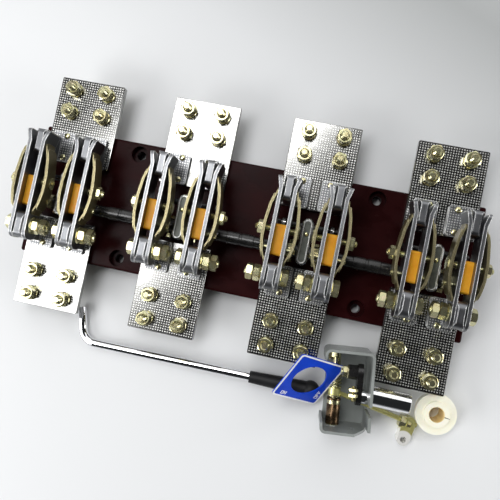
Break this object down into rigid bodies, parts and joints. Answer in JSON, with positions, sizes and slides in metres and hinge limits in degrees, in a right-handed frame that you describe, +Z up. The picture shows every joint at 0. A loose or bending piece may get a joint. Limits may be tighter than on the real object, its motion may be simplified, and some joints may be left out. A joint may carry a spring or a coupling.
{
  "type": "knife switch",
  "caption": "Open knife switch: twin knives with spring blades between jaw and hinge posts on an insulating base, worked together by a shaft, with its loose hand gear.",
  "frame": {"origin": "centre of the base's underside", "axes": "+X along the row of poles, +Y towards the jaws, +Z up from the panel"},
  "size_m": [0.552, 0.3471, 0.084],
  "materials": {
    "board": "gloss moulded",
    "tinned": "tinned copper, finely knurled",
    "blade": "tinned copper, smooth",
    "zinc": "yellow zinc plated steel",
    "insulator": "moulded orange",
    "black": "black",
    "steel": "zinc plated",
    "chrome": "polished",
    "grip": "moulded black",
    "grey": "light grey paint",
    "blue": "blue with a white edge",
    "ivory": "ivory nylon"
  },
  "bodies": {
    "base": {"base": "board", "upper_terminals": "tinned", "lower_terminals": "tinned", "jaw_posts": "blade", "hinge_posts": "blade", "hinge_bolts": "zinc", "shaft_bearings": "zinc", "handle_rod": "chrome", "handle_grip": "grip", "bracket": "grey", "spindle": "chrome", "bracket_crank": "black", "stay_bolt": "zinc", "connecting_rod": "zinc", "face_plate": "blue", "bush": "ivory"},
    "shaft": {"shaft": "black", "crank_arms": "steel", "cross_rods": "black"},
    "knife_1": {"blades_1": "blade", "springs_1": "zinc", "blocks_1": "insulator", "knife_pins_1": "zinc"},
    "link_1": {"links_1": "steel"},
    "knife_2": {"blades_2": "blade", "springs_2": "zinc", "blocks_2": "insulator", "knife_pins_2": "zinc"},
    "link_2": {"links_2": "steel"},
    "knife_3": {"blades_3": "blade", "springs_3": "zinc", "blocks_3": "insulator", "knife_pins_3": "zinc"},
    "link_3": {"links_3": "steel"},
    "knife_4": {"blades_4": "blade", "springs_4": "zinc", "blocks_4": "insulator", "knife_pins_4": "zinc"},
    "link_4": {"links_4": "steel"}
  },
  "joints": [
    {"name": "shaft_turn", "type": "hinge", "parent": "base", "child": "shaft", "pos_m": [0, -0.014, 0.042], "axis": [1, 0, 0], "range_deg": [0, 60]},
    {"name": "knife_1_turn", "type": "hinge", "parent": "base", "child": "knife_1", "pos_m": [-0.2175, -0.047, 0.07], "axis": [1, 0, 0], "range_deg": [0, 60]},
    {"name": "link_1_turn", "type": "hinge", "parent": "shaft", "child": "link_1", "pos_m": [-0.2175, 0.016, 0.036], "axis": [1, 0, 0], "range_deg": [-60, 0]},
    {"name": "knife_2_turn", "type": "hinge", "parent": "base", "child": "knife_2", "pos_m": [-0.0725, -0.047, 0.07], "axis": [1, 0, 0], "range_deg": [0, 60]},
    {"name": "link_2_turn", "type": "hinge", "parent": "shaft", "child": "link_2", "pos_m": [-0.0725, 0.016, 0.036], "axis": [1, 0, 0], "range_deg": [-60, 0]},
    {"name": "knife_3_turn", "type": "hinge", "parent": "base", "child": "knife_3", "pos_m": [0.0725, -0.047, 0.07], "axis": [1, 0, 0], "range_deg": [0, 60]},
    {"name": "link_3_turn", "type": "hinge", "parent": "shaft", "child": "link_3", "pos_m": [0.0725, 0.016, 0.036], "axis": [1, 0, 0], "range_deg": [-60, 0]},
    {"name": "knife_4_turn", "type": "hinge", "parent": "base", "child": "knife_4", "pos_m": [0.2175, -0.047, 0.07], "axis": [1, 0, 0], "range_deg": [0, 60]},
    {"name": "link_4_turn", "type": "hinge", "parent": "shaft", "child": "link_4", "pos_m": [0.2175, 0.016, 0.036], "axis": [1, 0, 0], "range_deg": [-60, 0]}
  ],
  "couplings": [
    {"joint": "knife_1_turn", "follows": "shaft_turn", "ratio": 1},
    {"joint": "link_1_turn", "follows": "shaft_turn", "ratio": -1},
    {"joint": "knife_2_turn", "follows": "shaft_turn", "ratio": 1},
    {"joint": "link_2_turn", "follows": "shaft_turn", "ratio": -1},
    {"joint": "knife_3_turn", "follows": "shaft_turn", "ratio": 1},
    {"joint": "link_3_turn", "follows": "shaft_turn", "ratio": -1},
    {"joint": "knife_4_turn", "follows": "shaft_turn", "ratio": 1},
    {"joint": "link_4_turn", "follows": "shaft_turn", "ratio": -1}
  ]
}
